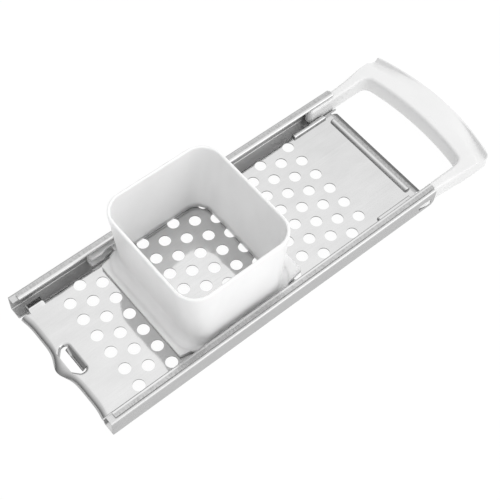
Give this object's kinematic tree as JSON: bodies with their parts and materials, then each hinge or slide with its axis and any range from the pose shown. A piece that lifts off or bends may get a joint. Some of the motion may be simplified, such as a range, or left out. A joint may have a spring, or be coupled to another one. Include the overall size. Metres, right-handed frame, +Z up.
{
  "type": "spaetzle maker",
  "caption": "Hand-held spaetzle maker: a perforated steel plate with channel rails, a square batter hopper that slides along them, and a D-shaped handle.",
  "frame": {"origin": "centre of the bounding box's bottom: mid length, mid width, on the plane that the two rail floors rest on", "axes": "+X towards the handle, along the hopper's travel; +Y to the left rail; +Z up out of the hopper"},
  "size_m": [0.3065, 0.1042, 0.0618],
  "materials": {
    "steel": "bright rolled stainless sheet, lightly polished",
    "hopper_plastic": "milky white polypropylene, satin",
    "handle_plastic": "white moulded plastic, semi-gloss"
  },
  "bodies": {
    "body": {"perforated_plate": "steel", "front_panel": "steel", "hook_nose": "steel", "rear_panel": "steel", "cross_bead": "steel", "left_front_stop": "steel", "left_front_lip": "steel", "right_front_lip": "steel", "left_rail": "steel", "right_rail": "steel", "left_rail_hem": "steel", "right_rail_hem": "steel", "left_rear_rib": "steel", "right_rear_rib": "steel", "handle_grip": "handle_plastic", "left_handle_arm": "handle_plastic", "right_handle_arm": "handle_plastic", "left_snap_lug": "handle_plastic", "right_snap_lug": "handle_plastic"},
    "hopper": {"hopper_box": "hopper_plastic", "hopper_base": "hopper_plastic", "left_runner": "hopper_plastic", "right_runner": "hopper_plastic"}
  },
  "joints": [
    {"name": "hopper_slide", "type": "slide", "parent": "body", "child": "hopper", "axis": [1, 0, 0], "range_m": [-0.036, 0.066]}
  ]
}
